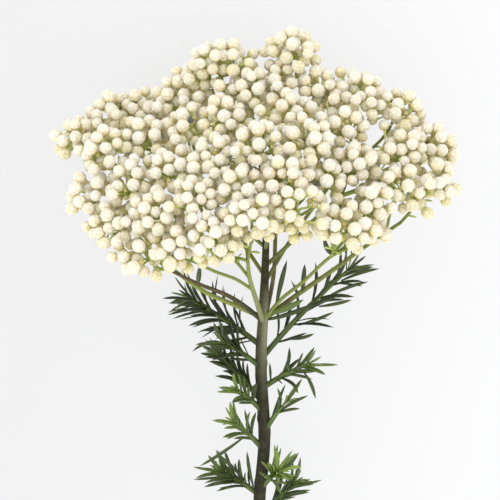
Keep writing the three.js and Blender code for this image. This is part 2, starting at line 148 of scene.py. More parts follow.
# How smaller buds fill the head: first behind the outer ones, then in the valleys between two sprays,
# then deep down between three. Each row has the tries in a spray, the cosine of the angle from the
# spray's direction, the distance from its middle, how closely the buds may crowd, how far they may
# reach into another spray's round, how many other middles must be near, how near that is, and how far
# from the cut end they start.
FILLINGS = [
    (140, (1, -1.25), (SPRAY_RADIUS - 3.4, 4.6), 0.93, 2.2, 0, math.inf, 0),
    (60, (0.5, -0.85), (SPRAY_RADIUS, 3.4), CROWDING, 1.2, 1, 9.8, 0),
    (60, (0.3, -1), (SPRAY_RADIUS - 1, 5), CROWDING, 1.2, 2, 13, CROWN + 38),
]

# Where one sees right through the head, past its green stalks: from behind it to before it, and half
# its width
OPENINGS = [
    ((33, 38.6, -35), (28.7, 71.4, 35), 2), ((39.7, 11, -35), (34.5, 47.1, 35), 2),
    ((13.7, 15.9, -35), (11.6, 51.4, 35), 1.9), ((25.3, 20.9, -35), (21.9, 55.8, 35), 1),
]

# The leafy side shoots: how far below the crown each leaves the stem, where its tip is, how many long
# leaves it has, how long they are, how far they spread from it, how many thin leaves grow among them,
# and how pale and young its tip is
SHOOTS = [
    (15, (24, 9, -8), 13, 13.5, 1, 10, 0.15), (25, (12.5, -13.5, 6), 8, 9.5, 0.9, 11, 0.4),
    (40, (6, -28.5, 4), 3, 12.5, 0.5, 4, 0.3), (60, (4.5, -51, 4), 12, 10, 1, 30, 0.9),
    (11, (-20, 0, -8), 16, 12.5, 1, 34, 0.1), (18, (-10, -9, 2), 6, 12, 0.7, 16, 0.2),
    (30, (-11.5, -17, -4), 12, 9.5, 0.6, 30, 0.2), (33, (-6.8, -23.5, 3.5), 7, 8, 0.85, 15, 0.6),
    (46, (-7.5, -35, 3), 7, 9, 0.85, 15, 0.7), (62, (-11, -54, 0), 10, 11.5, 0.9, 28, 0.3),
    (70, (9, -60, -2), 8, 11, 0.8, 20, 0.3),
]

# The longest and thinnest leaves of some shoots: the shoot's number, then foot, bend and tip
LONGEST_LEAVES = [
    (1, (7.4, -10.3, -3), (11.5, -9.8, -2), (15.1, -7.9, -2)),
    (1, (10.3, -6.3, -4), (15.7, -4.2, -3), (20.6, -1.3, -3)),
    (1, (16.3, -1, -5.5), (21.1, 0.2, -4.5), (25.7, 1.8, -4.5)),
    (1, (18.3, 1.7, -6), (25, 6.4, -5), (30.3, 7.4, -5)),
    (1, (22.6, 6.3, -7.5), (28.3, 10.1, -6.5), (33.4, 11.1, -6)),
    (2, (7.1, -19.5, 4), (9.6, -20.2, 5.2), (10.3, -23.4, 5.5)),
    (2, (12, -16.4, 5.5), (14.3, -18.9, 6.5), (15.4, -24.6, 6.5)),
    (3, (5, -31, 3.2), (8.5, -26.4, 5), (13.4, -24.3, 5)),
    (4, (4.2, -51.5, 3.8), (8, -49.5, 5), (10.9, -43.6, 5)),
    (6, (-9.8, -9.2, 2), (-15.1, -5.6, 3.5), (-20, -11, 3)),
    (9, (-5, -40.4, 1.8), (-11.6, -45.4, 3.5), (-18.3, -50, 3)),
    (10, (-4.5, -57, 0.4), (-8.5, -50.2, 2.5), (-13.1, -45.3, 3)),
    (10, (-5.5, -56.2, 0.4), (-6.8, -52, 1.8), (-6.6, -47.5, 2.5)),
    (10, (-2.4, -59, 0.3), (-3.9, -52, 1.5), (-4.3, -45.2, 2)),
]

# The single leaves on the crown and the branches: foot, bend and tip, half the width, and how pale
SINGLE_LEAVES = [
    ((1, -0.5, 0), (6.3, 2.6, 3.2), (11.7, 7.2, 5), 1.1, 0.4),
    ((1, -2, 0.5), (7.4, -0.4, 1), (15.1, 4.8, 3), 0.8, 0.1),
    ((11.3, 7.2, 0.3), (11.6, 12.4, 3.8), (11.8, 18.5, 5), 0.8, 0.15),
    ((4, 3.7, 1.9), (5, 11.5, 4.2), (6.9, 19.3, 4), 0.8, 0.1),
    ((19.6, 25.2, 12.8), (17.2, 28.5, 16.2), (16.5, 33.5, 18), 0.8, 0.15),
    ((-17.8, 15, 10), (-17.5, 18.6, 14), (-17, 24, 16), 0.8, 0.15),
    ((4, 24, -8), (8.5, 28.8, -9.5), (13, 31, -13), 0.8, 0.15),
    ((-9, 22, -10.5), (-11, 24.2, -15), (-13, 24, -20), 0.8, 0.15),
]

# How the head is seen in the photo: the camera looks down on it, from so far off its crown
VIEW_ELEVATION = math.radians(28)  # above the head's front, in the stem's own frame
VIEW_ACROSS = -3.4
VIEW_UP = 17.86
VIEW_DISTANCE = 630.0
CAMERA_LENS = 160.0

# The studio, in metres and watts
SKY_STRENGTH = 1.5
KEY_SIZE = 1.1
KEY_POWER = 2.0
KEY_PLACE = (-0.9, 0.6, 0.8)  # from the crown: to the right, up, and towards the camera
FLOOR_GLOW = (0.688, 0.782)  # from 70 mm left of the middle to 70 mm right of it
FLOOR_HALF_WIDTH = 3.0


def seeded(state):
    """The same stream of numbers from 0 to 1 on every run"""
    def draw():
        nonlocal state
        state = (state + 0x6D2B79F5) & 0xFFFFFFFF
        t = (state ^ state >> 15) * (state | 1) & 0xFFFFFFFF
        t ^= (t + ((t ^ t >> 7) * (t | 61) & 0xFFFFFFFF)) & 0xFFFFFFFF
        return ((t ^ t >> 14) & 0xFFFFFFFF) / 4294967296
    return draw


def pick(draw, start, span):
    """A number at random, from the start on and over the span"""
    return start + span * draw()


def unit(way):
    return way / np.linalg.norm(way)


def from_crown(at):
    return np.array([at[0], CROWN + at[1], at[2]], float)


def height(at):
    return at @ UPWARDS + STEM_LIFT


def bezier(controls, steps):
    """Points along a Bezier curve of any degree"""
    shares = np.linspace(0, 1, steps + 1)
    points = np.repeat(np.array(controls, float)[None], len(shares), axis=0)
    while points.shape[1] > 1:
        points = points[:, :-1] + (points[:, 1:] - points[:, :-1]) * shares[:, None, None]
    return points[:, 0]


def rounded(line, steps):
    """A smooth line through the points, with a number of steps between each two"""
    line = np.array(line, float)
    lean = np.gradient(line, axis=0) / 3
    points = [line[:1]]
    for i in range(len(line) - 1):
        controls = [line[i], line[i] + lean[i], line[i + 1] - lean[i + 1], line[i + 1]]
        points.append(bezier(controls, steps)[1:])
    return np.concatenate(points)


def tapered(ends, line):
    """A value at each point of the line, from that at its first to that at its last"""
    return np.linspace(ends[0], ends[1], len(line))


# What has grown so far, as straight stretches with a radius, so that nothing grows through it
grown = {
    "owner": np.empty(0, int), "start": np.empty((0, 3)), "way": np.empty((0, 3)), "radius": np.empty(0),
}
STEM_OWNER = -1
OPENING_OWNER = -2
FIRST_SHOOT_OWNER = 1000
TINY = 1e-12  # for a stretch with no length, such as a bud's


def occupy(owner, line, radii):
    line = np.array(line, float)
    radii = np.array(radii, float)
    grown["owner"] = np.append(grown["owner"], np.full(len(line) - 1, owner))
    grown["start"] = np.vstack([grown["start"], line[:-1]])
    grown["way"] = np.vstack([grown["way"], np.diff(line, axis=0)])
    grown["radius"] = np.append(grown["radius"], np.maximum(radii[:-1], radii[1:]))


def is_free(owner, points, radius):
    others = grown["owner"] != owner
    start, way = grown["start"][others], grown["way"][others]
    from_start = np.array(points)[:, None] - start
    length2 = np.maximum((way ** 2).sum(1), TINY)
    share = np.clip((from_start * way).sum(2) / length2, 0, 1)
    away = np.linalg.norm(from_start - share[..., None] * way, axis=2)
    return (away > grown["radius"][others] + radius).all()


class Spray:
    """A spray's own frame: its middle, its direction, two directions square to it, and its hub"""
    def __init__(self, middle):
        self.centre = from_crown(middle)
        self.ahead = unit(unit(self.centre - HEAD_FOCUS) + SPRAY_UPTURN * STEM_AXIS)
        self.across = unit(np.cross(self.ahead, SPRAY_GUIDE))
        self.over = np.cross(self.ahead, self.across)
        self.hub = self.centre - HUB_DEPTH * SPRAY_RADIUS * self.ahead
        self.root = self.hub - ROOT_LENGTH * self.ahead

    def towards(self, polar, azimuth, reach):
        sideways = math.cos(azimuth) * self.across + math.sin(azimuth) * self.over
        return self.centre + reach * (math.cos(polar) * self.ahead + math.sin(polar) * sideways)


def twig_curve(spray):
    """The twig that carries a spray leaves the nearest branch at about 40 degrees, and bends round to
    meet the spray end to end"""
    end = spray.root - GAP * spray.ahead
    best = (math.inf, None)
    for *_, line in BRANCHES:
        line = [from_crown(at) for at in line]
        for i in range(1, len(line)):
            along = unit(line[i] - line[i - 1])
            for step in range(TWIG_STARTS if i == 1 else 1, TWIG_STARTS + 1):
                start = line[i - 1] + (line[i] - line[i - 1]) * (step / TWIG_STARTS)
                way = end - start
                cost = TWIG_DETOUR * np.linalg.norm(way) - way @ along
                if cost < best[0]:
                    best = (cost, start)
    start = best[1]
    reach = TWIG_BEND * np.linalg.norm(end - start)
    return [start, start + TWIG_BEND * (end - start), end - reach * spray.ahead, end]


class Buds:
    """All the buds so far: the spray, the place and the radius of each"""
    def __init__(self, sprays):
        self.centres = np.array([spray.centre for spray in sprays])
        self.owners = np.empty(0, int)
        self.places = np.empty((0, 3))
        self.radii = np.empty(0)

    def offer(self, owner, at, radius, crowding, margin):
        """Adds a bud, but not where another spray, another bud or a branch is"""
        at = at + max(radius - height(at), 0) * UPWARDS
        away = np.linalg.norm(self.centres - at, axis=1)
        away[owner] = math.inf
        apart = np.linalg.norm(self.places - at, axis=1)
        least = np.where(self.owners == owner, crowding, 1.0) * (self.radii + radius)
        clear = away.min() >= SPRAY_RADIUS - margin and (apart >= least).all()
        if clear and is_free(owner, [at], radius + GAP):
            self.owners = np.append(self.owners, owner)
            self.places = np.vstack([self.places, at])
            self.radii = np.append(self.radii, radius)


def grow_buds(sprays):
    """The outer buds stand round each spray on a golden spiral, and some hang low before the branches.
    Smaller ones fill in behind them, in the valleys between two sprays, and deep down between three."""
    draw = seeded(BUD_SEED)
    buds = Buds(sprays)
    for owner, spray in enumerate(sprays):
        count = math.floor(4 * math.pi * SPRAY_RADIUS ** 2 / BUD_AREA)
        turn = draw() * 2 * math.pi
        for i in range(count):
            polar = math.acos(1 - 2 * (i + 0.5) / count)
            reach = SPRAY_RADIUS + BUD_SCATTER * (draw() - 0.5)
            radius = BUD_RADIUS + BUD_RADIUS_SPREAD * draw() ** BUD_RADIUS_LEAN
            at = spray.towards(polar, turn + i * GOLDEN_ANGLE, reach)
            if polar <= SPRAY_REACH:
                buds.offer(owner, at, radius, CROWDING, OUTER_MARGIN)
    for number, place in LOW_BUDS:
        buds.offer(number - 1, from_crown(place), LOW_BUD_RADIUS, LOW_CROWDING, LOW_MARGIN)
    for tries, cosine, distance, crowding, margin, others, nearness, start in FILLINGS:
        for _ in range(tries):
            for owner, spray in enumerate(sprays):
                polar = math.acos(pick(draw, *cosine))
                azimuth = 2 * math.pi * draw()
                at = spray.towards(polar, azimuth, pick(draw, *distance))
                radius = pick(draw, *INNER_BUD_RADII)
                away = np.partition(np.linalg.norm(buds.centres - at, axis=1), others)[others]
                if away < nearness and at[1] > start:
                    buds.offer(owner, at, radius, crowding, margin)
    return buds


# Making meshes

def ring_places(line, radii, flatness, facing):
    """Where each ring of a limb goes: a matrix of its half widths, the way ahead and its middle"""
    places = []
    side = None
    for i, at in enumerate(line):
        ahead = unit(line[min(i + 1, len(line) - 1)] - line[max(i - 1, 0)])
        side = np.cross(ahead, facing) if side is None else side
        side = unit(side - (side @ ahead) * ahead)
        rise = np.cross(side, ahead)
        columns = (*(side * radii[i]), 0), (*(rise * radii[i] * flatness), 0), (*-ahead, 0), (*at, 1)
        places.append(Matrix(columns).transposed())
    return places


def add_limb(bm, line, radii, sides, flatness=1.0, facing=FRONT, pointed=False, **marks):
    """A closed limb, drawn out ring by ring along a line. Each mark names a vertex layer and its value
    at each ring. Gives back the rings and their places."""
    places = ring_places(line, radii, flatness, facing)
    circle = bmesh.ops.create_circle(bm, cap_ends=True, segments=sides, radius=1, matrix=places[0])
    rings = [circle["verts"]]
    edges = list(rings[0][0].link_faces[0].edges)
    for last, this in zip(places, places[1:]):
        drawn = bmesh.ops.extrude_edge_only(bm, edges=edges)["geom"]
        rings.append([part for part in drawn if isinstance(part, bmesh.types.BMVert)])
        edges = [part for part in drawn if isinstance(part, bmesh.types.BMEdge) and part.is_boundary]
        bmesh.ops.transform(bm, matrix=this @ last.inverted(), verts=rings[-1])
    bmesh.ops.contextual_create(bm, geom=edges)
    for name, values in marks.items():
        layer = bm.verts.layers.float[name]
        for ring, value in zip(rings, values):
            for vert in ring:
                vert[layer] = value
    if pointed:
        bmesh.ops.pointmerge(bm, verts=rings[-1], merge_co=Vector(line[-1]))
    return rings, places


def new_mesh(*layers):
    bm = bmesh.new()
    for name in layers:
        bm.verts.layers.float.new(name)
    return bm


def finished(bm, name, slot, materials, *nodes):
    """Puts the mesh where it lies, in metres, as a piece that stands for its CAD nodes"""
    bmesh.ops.recalc_face_normals(bm, faces=bm.faces)
    bm.transform(GROWTH)
    mesh = bpy.data.meshes.new(name)
    bm.to_mesh(mesh)
    bm.free()
    mesh.shade_smooth()
    for material in materials:
        mesh.materials.append(material)
    piece = bpy.data.objects.new(name, mesh)
    bpy.context.scene.collection.objects.link(piece)
    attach(piece, "root")
    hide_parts(*nodes)
    return piece


# Materials

def linear(hex_colour):
    """An sRGB hex value as linear red, green, blue and alpha"""
    channels = [int(hex_colour[i:i + 2], 16) / 255 for i in (1, 3, 5)]
    return [c / 12.92 if c <= 0.04045 else ((c + 0.055) / 1.055) ** 2.4 for c in channels] + [1.0]


def new_material(name):
    material = bpy.data.materials.new(name)
    material.use_nodes = True
    return material, material.node_tree, material.node_tree.nodes["Principled BSDF"]


def feed(tree, node, inputs):
    """Sets a node's sockets: each gets a value, a hex colour, or the output that feeds it"""
    for name, value in inputs.items():
        if isinstance(value, bpy.types.NodeSocket):
            tree.links.new(value, node.inputs[name])
        else:
            node.inputs[name].default_value = linear(value) if isinstance(value, str) else value


def add_node(tree, kind, inputs=None, **settings):
    """Adds a node with its settings and its links"""
    node = tree.nodes.new(kind)
    for name, value in settings.items():
        setattr(node, name, value)
    feed(tree, node, inputs or {})
    return node


def papery_bracts():
    """Dry papery bracts, overlapping like scales: matt, off-white at the tip, cream round the middle and
    straw yellow at the stalk, with a fine darker line along the edge of each bract. The straw yellow is
    partly the bracts' own colour and partly painted shade, where the bud's foot sits inside the spray.
    Unripe ones are greener, and buds set back in the spray get a greener tint as painted shade."""
    material, tree, shader = new_material("papery_bracts")
    tone, rise, unripe_and_shade = [add_node(tree, "ShaderNodeAttribute", attribute_name=name).outputs["Fac"]
                          for name in ("tone", "rise", "unripe_and_shade")]
    coordinates = add_node(tree, "ShaderNodeTexCoord").outputs
    # Seven bracts go round a bud, and three lie over each other from stalk to tip
    bracts = add_node(tree, "ShaderNodeMapping", {"Vector": coordinates["UV"], "Scale": (7, 3.2, 1)})
    cells = add_node(tree, "ShaderNodeTexVoronoi", {
        "Vector": bracts.outputs[0], "Scale": 1.0}, feature="DISTANCE_TO_EDGE", voronoi_dimensions="2D")
    edge = add_node(tree, "ShaderNodeMapRange", {
        "Value": cells.outputs["Distance"], "From Max": 0.18, "To Min": 1.0, "To Max": 0.0})
    # Blotches of about 0.7 mm
    blotch = add_node(tree, "ShaderNodeTexNoise", {"Vector": coordinates["Object"], "Scale": 1400.0})
    tip = add_node(tree, "ShaderNodeMixRGB", {"Fac": tone, "Color1": "#E6E4E0", "Color2": "#E1DDD3"})
    waist = add_node(tree, "ShaderNodeMixRGB", {"Fac": tone, "Color1": "#EFEADE", "Color2": "#EAE1C8"})
    down = add_node(tree, "ShaderNodeMapRange", {
        "Value": rise, "From Min": 0.95, "From Max": 0.5}, interpolation_type="SMOOTHSTEP")
    upper = add_node(tree, "ShaderNodeMixRGB", {
        "Fac": down.outputs[0], "Color1": tip.outputs[0], "Color2": waist.outputs[0]})
    # Straw yellow towards the stalk: partly the bracts' own colour, partly painted shade inside the
    # spray
    low = add_node(tree, "ShaderNodeMapRange", {
        "Value": rise, "From Min": 0.5, "From Max": 0.12}, interpolation_type="SMOOTHSTEP")
    whole = add_node(tree, "ShaderNodeMixRGB", {
        "Fac": low.outputs[0], "Color1": upper.outputs[0], "Color2": "#E6DCAC"})
    lines = add_node(tree, "ShaderNodeMath", {0: edge.outputs[0], 1: 0.36}, operation="MULTIPLY")
    lined = add_node(tree, "ShaderNodeMixRGB", {
        "Fac": lines.outputs[0], "Color1": whole.outputs[0], "Color2": "#C4B67E"})
    faint = add_node(tree, "ShaderNodeMath", {0: blotch.outputs["Fac"], 1: 0.2}, operation="MULTIPLY")
    ripe = add_node(tree, "ShaderNodeMixRGB", {
        "Fac": faint.outputs[0], "Color1": lined.outputs[0], "Color2": "#E6D9B0"})
    # Greener for unripe buds, and the same greener tint as painted shade on buds set back in the spray
    colour = add_node(tree, "ShaderNodeMixRGB", {
        "Fac": unripe_and_shade, "Color1": ripe.outputs[0], "Color2": "#C6BC6C"})
    bump = add_node(tree, "ShaderNodeBump", {
        "Height": edge.outputs[0], "Strength": 0.9, "Distance": 0.0002}, invert=True)
    feed(tree, shader, {
        "Base Color": colour.outputs[0], "Normal": bump.outputs[0], "Roughness": 0.65,
        "Specular IOR Level": 0.3})
    # Light goes up to two millimetres through the bracts
    feed(tree, shader, {
        "Subsurface Weight": 1.0, "Subsurface Radius": (1.0, 0.85, 0.6), "Subsurface Scale": 2.0 * MM})
    return material


def green_stalk():
    """Young sappy stalks: a thin satin skin, yellow green where it is thin and light comes through,
    olive where it is older"""
    material, tree, shader = new_material("green_stalk")
    age = add_node(tree, "ShaderNodeAttribute", attribute_name="age").outputs["Fac"]
    place = add_node(tree, "ShaderNodeTexCoord").outputs["Object"]
    # Streaks of about 1 mm
    streak = add_node(tree, "ShaderNodeTexNoise", {"Vector": place, "Scale": 900.0, "Detail": 2.0})
    young = add_node(tree, "ShaderNodeMixRGB", {
        "Fac": streak.outputs["Fac"], "Color1": "#B0BE5A", "Color2": "#CFD48A"})
    colour = add_node(tree, "ShaderNodeMixRGB", {
        "Fac": age, "Color1": young.outputs[0], "Color2": "#8F9D49"})
    feed(tree, shader, {"Base Color": colour.outputs[0], "Roughness": 0.5, "Specular IOR Level": 0.3})
    return material


def ridged_bark():
    """Thin bark over green wood: dull and finely ridged lengthwise. It is yellow green on the youngest
    branches, flushed reddish brown on older ones, dark olive brown on the stem, and has a grey bloom of
    fine hairs at the crown."""
    material, tree, shader = new_material("ridged_bark")
    wood, bloom = [add_node(tree, "ShaderNodeAttribute", attribute_name=name).outputs["Fac"]
                   for name in ("wood", "bloom")]
    place = add_node(tree, "ShaderNodeTexCoord").outputs["Object"]
    # Ridges of about 0.5 mm that run about 6 mm along the stem
    along = add_node(tree, "ShaderNodeMapping", {
        "Vector": place, "Rotation": (-STEM_TILT, 0, 0), "Scale": (2000, 160, 2000)},
        vector_type="POINT")
    ridges = add_node(tree, "ShaderNodeTexNoise", {
        "Vector": along.outputs[0], "Scale": 1.0, "Detail": 4.0})
    # Mottles of about 2 mm
    mottle = add_node(tree, "ShaderNodeTexNoise", {"Vector": place, "Scale": 500.0, "Detail": 3.0})
    uneven = add_node(tree, "ShaderNodeMath", {
        0: mottle.outputs["Fac"], 1: 0.5, 2: -0.25}, operation="MULTIPLY_ADD")
    age = add_node(tree, "ShaderNodeMath", {0: wood, 1: uneven.outputs[0]}, operation="ADD")
    aged = add_node(tree, "ShaderNodeValToRGB", {"Fac": age.outputs[0]})
    stops = aged.color_ramp.elements
    stops[0].color = linear("#97A348")
    stops[1].color = linear("#1C190B")
    for position, colour in ((0.35, "#7F8A3C"), (0.6, "#68583A"), (0.8, "#3A381E")):
        stops.new(position).color = linear(colour)
    # Painted shade: the grooves between the ridges are darkened towards near black
    shade = add_node(tree, "ShaderNodeMapRange", {
        "Value": ridges.outputs["Fac"], "From Min": 0.3, "From Max": 0.7, "To Min": 0.3, "To Max": 0.0})
    grooved = add_node(tree, "ShaderNodeMixRGB", {
        "Fac": shade.outputs[0], "Color1": aged.outputs[0], "Color2": "#1A180E"})
    colour = add_node(tree, "ShaderNodeMixRGB", {
        "Fac": bloom, "Color1": grooved.outputs[0], "Color2": "#86876C"})
    bump = add_node(tree, "ShaderNodeBump", {
        "Height": ridges.outputs["Fac"], "Strength": 0.6, "Distance": 0.0003})
    feed(tree, shader, {
        "Base Color": colour.outputs[0], "Normal": bump.outputs[0], "Roughness": 0.75,
        "Specular IOR Level": 0.25})
    return material


def cut_wood():
    """Freshly cut sapwood: pale, moist and satin, with fine pores"""
    material, tree, shader = new_material("cut_wood")
    place = add_node(tree, "ShaderNodeTexCoord").outputs["Object"]
    # Pores 0.15 mm apart
    pores = add_node(tree, "ShaderNodeTexNoise", {"Vector": place, "Scale": 6500.0, "Detail": 2.0})
    colour = add_node(tree, "ShaderNodeMixRGB", {
        "Fac": pores.outputs["Fac"], "Color1": "#C9BF86", "Color2": "#E6DDB4"})
    feed(tree, shader, {"Base Color": colour.outputs[0], "Roughness": 0.45})
    return material


def soft_pith():
    """The pith in the middle of the cut: whitish, spongy and dry"""
    material, tree, shader = new_material("soft_pith")
    place = add_node(tree, "ShaderNodeTexCoord").outputs["Object"]
    # Cells 0.2 mm across
    cells = add_node(tree, "ShaderNodeTexVoronoi", {"Vector": place, "Scale": 5000.0})
    colour = add_node(tree, "ShaderNodeMixRGB", {
        "Fac": cells.outputs["Distance"], "Color1": "#F1ECD6", "Color2": "#CFC59C"})
    feed(tree, shader, {"Base Color": colour.outputs[0], "Roughness": 0.85})
    return material


def leathery_leaf():
    """Narrow leathery leaves: dark green with a satin skin, paler and yellower when young"""
    material, tree, shader = new_material("leathery_leaf")
    youth = add_node(tree, "ShaderNodeAttribute", attribute_name="youth").outputs["Fac"]
    place = add_node(tree, "ShaderNodeTexCoord").outputs["Object"]
    # Patches of about 2 mm
    patch = add_node(tree, "ShaderNodeTexNoise", {"Vector": place, "Scale": 450.0, "Detail": 2.0})
    old = add_node(tree, "ShaderNodeMixRGB", {
        "Fac": patch.outputs["Fac"], "Color1": "#16220F", "Color2": "#29341C"})
    colour = add_node(tree, "ShaderNodeMixRGB", {
        "Fac": youth, "Color1": old.outputs[0], "Color2": "#839A48"})
    feed(tree, shader, {"Base Color": colour.outputs[0], "Roughness": 0.42, "Specular IOR Level": 0.3})
    return material


bracts = papery_bracts()
stalk_green = green_stalk()
bark = ridged_bark()
sapwood = cut_wood()
pith = soft_pith()
leaf = leathery_leaf()


# The buds and their stalks

FIRST_SPRAY_SEED = 100
BUD_SIDES = 10
BUD_ROWS = 7
BRACT_LIFT = 0.022  # of the bud's radius, in and out from bract to bract
BUD_TAPER = 0.05  # wider at the stalk and narrower at the tip
BUD_LENGTH = (0.98, 0.12)  # of its width
BUNCHES_AROUND = 5  # and one ahead
AHEAD = 0.9  # cosine of the angle from the spray's direction to the edge of the bunch ahead

# The parts of a spray's stalks: how many sides each has, then its radius and its age from foot to top
ROOT = (6, [0.45, 0.5], [0.9, 0.6])
BRANCHLET = (5, [0.42, 0.38, 0.34, 0.34], [0.6, 0.5, 0.35, 0.3])
STALK = (5, [0.26, 0.2, 0.21, 0.42], [0.3, 0.15, 0.1, 0.0])
UNRIPE_STALK = (4, [0.2, 0.22], [0.2, 0])
STALK_STEPS = 3
FORK = 0.45  # where a bunch's stalks part, of the way from the hub to its middle
FORK_REACH = 1.3  # of that way: a bud that is nearer has its stalk straight from the hub
BRANCHLET_START = 0.3  # behind the hub
BRANCHLET_LEAD = 0.4  # how far it goes the spray's own way, of the way to the fork
STALK_BEND = 0.3  # how far it goes straight on from each end, of its length
BUD_LEAN = 0.8  # how much a bud turns from the hub's way to that of its own stalk
BUD_SEAT = 0.93  # of the bud's radius, from the top of its stalk to its middle

# The unripe buds at each fork
UNRIPE_BUDS = 2
UNRIPE_SPREAD = 1.6
UNRIPE_STALK_LENGTH = (1.2, 1.6)
UNRIPE_SIZE = (1, 0.5)
UNRIPE_SEAT = 0.7
UNRIPE_GREEN = (0.6, 0.4)

# Painted shade: a bud is tinted the greener, the less far ahead it is from this start, over this span,
# of the spray's radius, since the buds set back in the spray lie in its shade
SHADE_START = 0.45
SHADE_SPAN = 0.6
SHADE_GREEN = 0.35


def add_bud(bm, at, radius, axis, draw, unripe_and_shade=0.0):
    """A bud is a ball of bracts, a little longer than wide, that stand out in turn like scales"""
    turned = Vector(axis).to_track_quat("Z", "Y").to_matrix().to_4x4()
    place = Matrix.Translation(at) @ turned @ Matrix.Rotation(draw() * 2 * math.pi, 4, "Z")
    ball = bmesh.ops.create_uvsphere(bm, u_segments=BUD_SIDES, v_segments=BUD_ROWS, radius=1,
                                     calc_uvs=True)["verts"]
    layers = bm.verts.layers.float
    tone = draw()
    length = pick(draw, *BUD_LENGTH)
    for vert in ball:
        x, y, z = vert.co
        row = round(math.acos(max(-1.0, min(1.0, z))) / math.pi * BUD_ROWS)
        bract = math.cos(BUD_SIDES / 2 * math.atan2(y, x) + row * math.pi) if 0 < row < BUD_ROWS else 0
        swell = radius * (1 + BRACT_LIFT * bract)
        taper = 1 - BUD_TAPER * z
        vert[layers["tone"]] = tone
        vert[layers["rise"]] = (z + 1) / 2
        vert[layers["unripe_and_shade"]] = unripe_and_shade
        vert.co = place @ Vector((x * swell * taper, y * swell * taper, z * swell * length))


def part_stalks(spray, buds):
    """The buds of a spray hang in bunches, one ahead and five round it. Gives each bunch's fork and its
    buds."""
    bunches = {}
    for at, radius in buds:
        way = unit(at - spray.hub)
        azimuth = math.atan2(way @ spray.over, way @ spray.across)
        share = (azimuth / math.pi + 1) / 2
        key = -1 if way @ spray.ahead > AHEAD else math.floor(share * BUNCHES_AROUND)
        bunches.setdefault(key, []).append((at, radius))
    parted = []
    for key in sorted(bunches):
        middle = sum(at for at, _ in bunches[key]) / len(bunches[key])
        parted.append((spray.hub + FORK * (middle - spray.hub), bunches[key]))
    return parted


def add_stalk(bm, line, sides, radii, ages):
    add_limb(bm, np.array(line), radii, sides, age=ages)


def make_spray(number, spray, buds):
    draw = seeded(FIRST_SPRAY_SEED + number)
    bud_mesh = new_mesh("tone", "rise", "unripe_and_shade")
    bud_mesh.loops.layers.uv.new("UVMap")
    stalks = new_mesh("age")
    add_stalk(stalks, [spray.root, spray.hub], *ROOT)
    for fork, bunch in part_stalks(spray, buds):
        reach = np.linalg.norm(fork - spray.hub)
        start = spray.hub - BRANCHLET_START * spray.ahead
        bend = spray.hub + BRANCHLET_LEAD * reach * spray.ahead
        add_stalk(stalks, bezier([start, bend, fork], STALK_STEPS), *BRANCHLET)
        onward = unit(fork - spray.hub)
        for _ in range(UNRIPE_BUDS):
            axis = unit(onward + UNRIPE_SPREAD * np.array([draw() - 0.5, draw() - 0.5, draw() - 0.5]))
            length = pick(draw, *UNRIPE_STALK_LENGTH)
            add_stalk(stalks, [fork, fork + length * axis], *UNRIPE_STALK)
            radius = UNRIPE_BUD_RADIUS * pick(draw, *UNRIPE_SIZE)
            at = fork + (length + UNRIPE_SEAT * radius) * axis
            add_bud(bud_mesh, at, radius, axis, draw, pick(draw, *UNRIPE_GREEN))
        for at, radius in bunch:
            near = np.linalg.norm(at - spray.hub) < FORK_REACH * reach
            start, leave = (spray.hub, spray.ahead) if near else (fork, onward)
            axis = unit(unit(at - spray.hub) + BUD_LEAN * unit(at - start))
            foot = at - BUD_SEAT * radius * axis
            bend = STALK_BEND * np.linalg.norm(foot - start)
            line = bezier([start, start + bend * leave, foot - bend * axis, foot], STALK_STEPS)
            add_stalk(stalks, line, *STALK)
            # Painted shade: a bud set back in the spray gets the unripe buds' greener tint
            depth_in_shade = SHADE_START - (at - spray.centre) @ spray.ahead / SPRAY_RADIUS
            painted_shade = SHADE_GREEN * min(max(depth_in_shade / SHADE_SPAN, 0), 1)
            add_bud(bud_mesh, at, radius, axis, draw, painted_shade)
    finished(bud_mesh, f"buds_{number:02}", "buds", [bracts], f"spray_{number:02}")
    finished(stalks, f"stalks_{number:02}", "leaves", [stalk_green], f"spray_{number:02}")


# The stem and its branches

STEM_SIDES = 24
STEM_STEPS = 14  # from node to node
LEADER_RADII = [1.1, 0.9, 0.75, 0.6]
BELOW_CUT = -2  # where the stem's mesh starts, before it is cut
# How woody the stem is, and how much grey bloom it has, at distances from the cut end
STEM_WOOD = ([0, CROWN - 8, CROWN, CROWN + 6], [0.97, 0.93, 0.7, 0.82])
STEM_BLOOM = ([0, CROWN - 28, CROWN - 8, CROWN + 2, CROWN + 10], [0.05, 0.08, 0.9, 0.9, 0])
THIN_SIDE_BLOOM = 0.2  # how much of it is left on the side away from +x; it is fullest on the +x side
RIDGES = 5
RIDGE_HEIGHT = 0.035  # of the stem's radius
RIDGE_TWIST = 0.012  # radians a millimetre
FIRST_SCAR = 6  # from the cut end
SCAR_SPACING = 4.6
SCARS = math.floor((CROWN - 12) / SCAR_SPACING)
SCAR_HEIGHT = 0.3
SCAR_LENGTH = 1.1
SCAR_WIDTH = 0.9
BARK_THICKNESS = 0.22
PITH_RADIUS = 0.65
PITH_DEPTH = 0.08
BRANCH_SIDES = 8
BRANCH_STEPS = 5  # from point to point
BRANCH_WOOD_LEFT = 0.6  # at its end, of how woody it starts
TWIG_SIDES = 6
TWIG_STEPS = 6
TWIG_WOOD = 0.25  # at its foot


